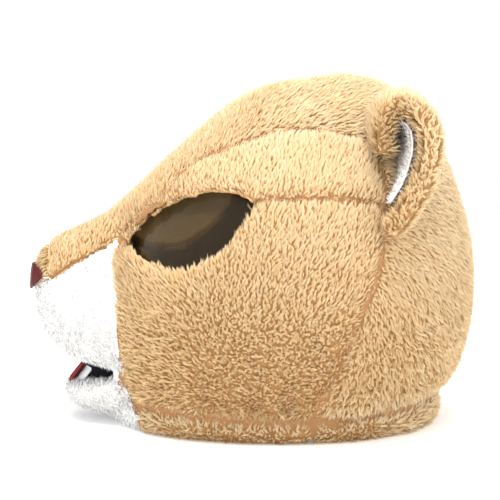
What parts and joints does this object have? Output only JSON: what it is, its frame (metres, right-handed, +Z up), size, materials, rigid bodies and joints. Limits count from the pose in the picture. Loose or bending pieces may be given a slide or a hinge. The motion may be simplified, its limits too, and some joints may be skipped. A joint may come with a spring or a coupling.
{
  "type": "plush animal head mask",
  "caption": "Full-head plush animal mask with a short tan pile, a white muzzle, smoked eye lenses, rounded ears and a gathered neck band.",
  "frame": {"origin": "middle of the footprint on the surface that the hem stands on", "axes": "+Z up, the face looks along -Y, and +X is the animal's left side"},
  "size_m": [0.352, 0.392, 0.3031],
  "materials": {
    "plush_tan": "short tan plush pile on a foam-backed cloth",
    "plush_white": "short white plush pile on a foam-backed cloth",
    "nose_satin": "smooth dark red satin",
    "mouth_black": "matte black cloth",
    "tongue_felt": "dark red felt",
    "tooth_felt": "white felt",
    "smoked_lens": "thin smoked see-through plastic sheet",
    "ear_white": "short white plush"
  },
  "bodies": {
    "root": {"crown_and_back": "plush_tan", "brow_left": "plush_tan", "brow_right": "plush_tan", "cheek_left": "plush_tan", "cheek_right": "plush_tan", "neck_band_left": "plush_tan", "neck_band_right": "plush_tan", "neck_band_back": "plush_tan", "ear_left": "plush_tan", "ear_right": "plush_tan", "muzzle_left": "plush_white", "muzzle_right": "plush_white", "chin": "plush_white", "nose": "nose_satin", "mouth_lining": "mouth_black", "tongue": "tongue_felt", "teeth": "tooth_felt", "lens_left": "smoked_lens", "lens_right": "smoked_lens", "ear_lining_left": "ear_white", "ear_lining_right": "ear_white"}
  },
  "joints": []
}
